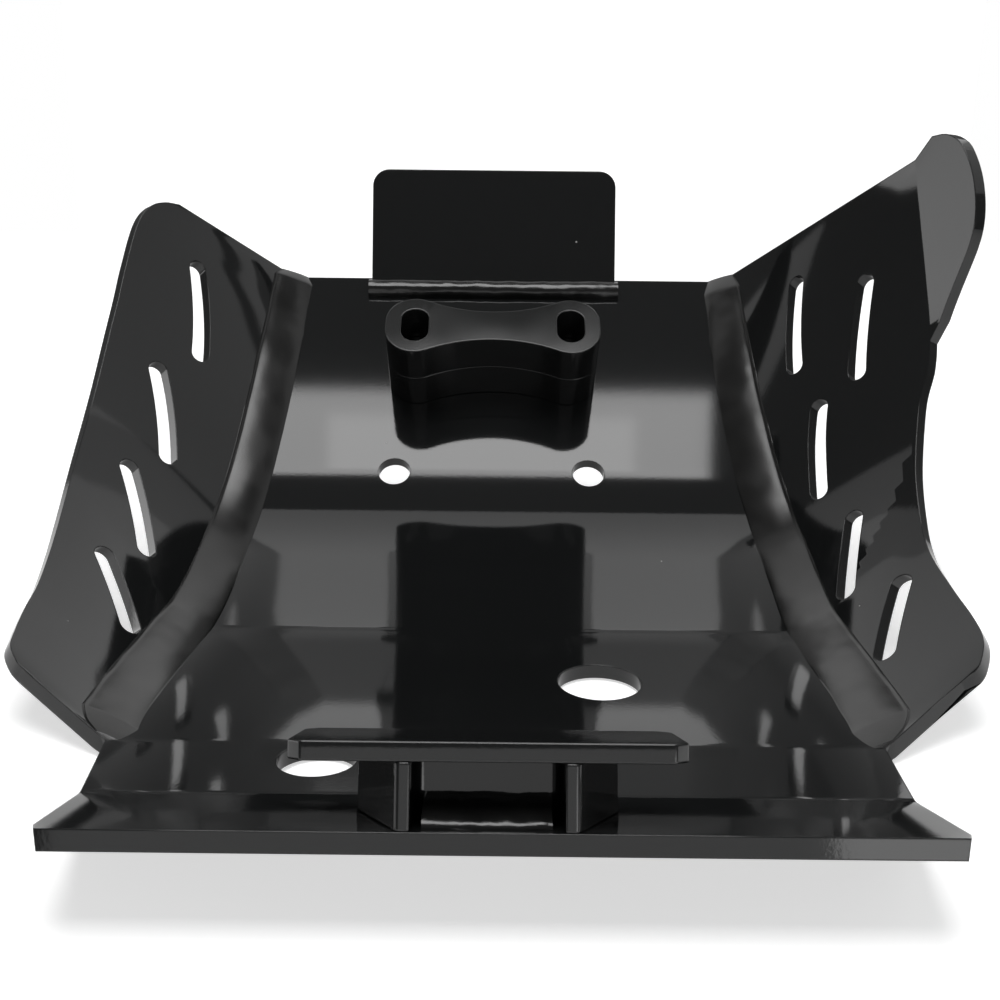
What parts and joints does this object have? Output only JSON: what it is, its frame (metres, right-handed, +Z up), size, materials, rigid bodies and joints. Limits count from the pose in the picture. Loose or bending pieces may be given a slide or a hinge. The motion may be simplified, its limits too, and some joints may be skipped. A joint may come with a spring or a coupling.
{
  "type": "motorcycle skid plate",
  "caption": "Black plastic skid plate for an off-road motorcycle: bent centre pan, welded slotted side wings, raised front tab, front mounting block and rear bracket",
  "frame": {"origin": "the middle of the top face of the front mounting block, which lies against the motorcycle's frame", "axes": "the floor of the pan is level as on the motorcycle, +X to the side of the wing with the folded lobe, +Y to the front of the motorcycle, +Z up"},
  "size_m": [0.4307, 0.4428, 0.2279],
  "materials": {
    "sheet_plastic": "glossy black polyethylene sheet, its cut edges left matte grey-brown from the cutter",
    "weld_plastic": "satin dark grey extruded weld bead, slightly uneven",
    "block_plastic": "black polyethylene block, glossy on its faces and matte where it was cut"
  },
  "bodies": {
    "root": {"centre_pan": "sheet_plastic", "left_wing": "sheet_plastic", "right_wing": "sheet_plastic", "left_wing_weld": "weld_plastic", "right_wing_weld": "weld_plastic", "front_tab": "sheet_plastic", "front_tab_weld": "weld_plastic", "mount_block_lower": "block_plastic", "mount_block_upper": "block_plastic", "rear_cross_plate": "sheet_plastic", "rear_bracket_block": "block_plastic", "rear_pocket_weld": "weld_plastic", "rear_bracket_weld": "weld_plastic"}
  },
  "joints": []
}
